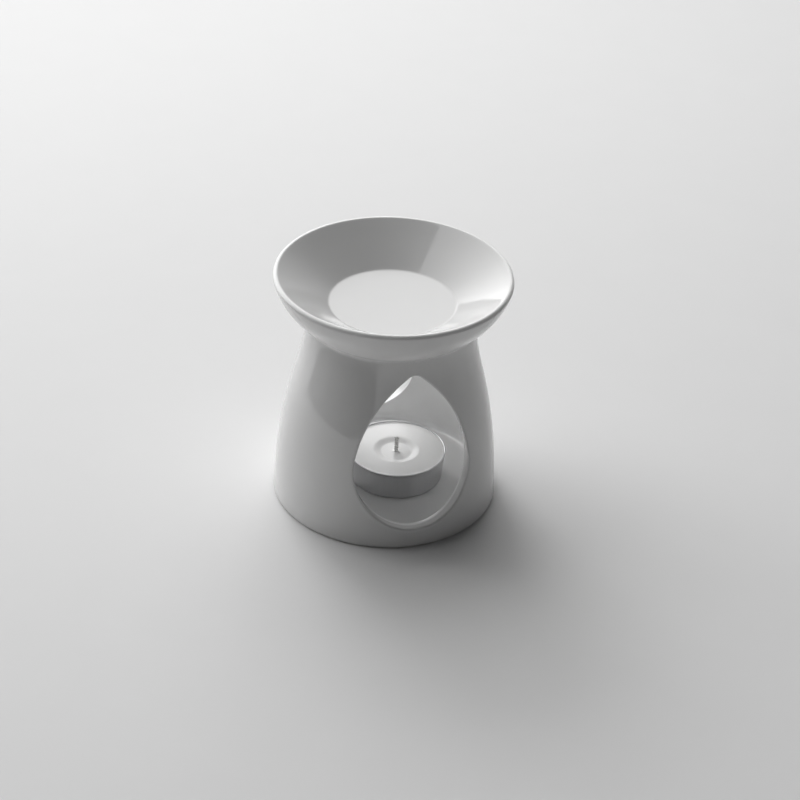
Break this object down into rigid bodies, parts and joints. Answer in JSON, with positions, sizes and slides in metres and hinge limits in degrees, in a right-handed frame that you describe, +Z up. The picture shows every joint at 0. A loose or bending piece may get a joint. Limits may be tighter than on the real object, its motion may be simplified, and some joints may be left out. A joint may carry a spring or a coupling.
{
  "type": "oil burner",
  "caption": "Bell-shaped glazed oil burner with a shallow dish on its neck, a teardrop window front and back, and a tealight standing inside.",
  "frame": {"origin": "middle of the foot ring, on the surface that the burner stands on", "axes": "+Z up through the middle of the dish; -Y out through the large front window, so +X is to the right of someone who faces that window"},
  "size_m": [0.09, 0.09, 0.095],
  "materials": {
    "body_glaze": "gloss",
    "dish_glaze": "gloss",
    "cup_aluminium": "satin",
    "wax": "satin",
    "cotton": "matte",
    "tinplate": "satin"
  },
  "bodies": {
    "burner": {"burner_body": "body_glaze", "oil_dish": "dish_glaze"},
    "tealight": {"tealight_cup": "cup_aluminium", "tealight_wax": "wax", "tealight_wick": "cotton", "wick_tab": "tinplate"}
  },
  "joints": [
    {"name": "tealight_out", "type": "slide", "parent": "burner", "child": "tealight", "axis": [-0.1024, -0.853, 0.5118], "range_m": [0, 0.078]}
  ]
}
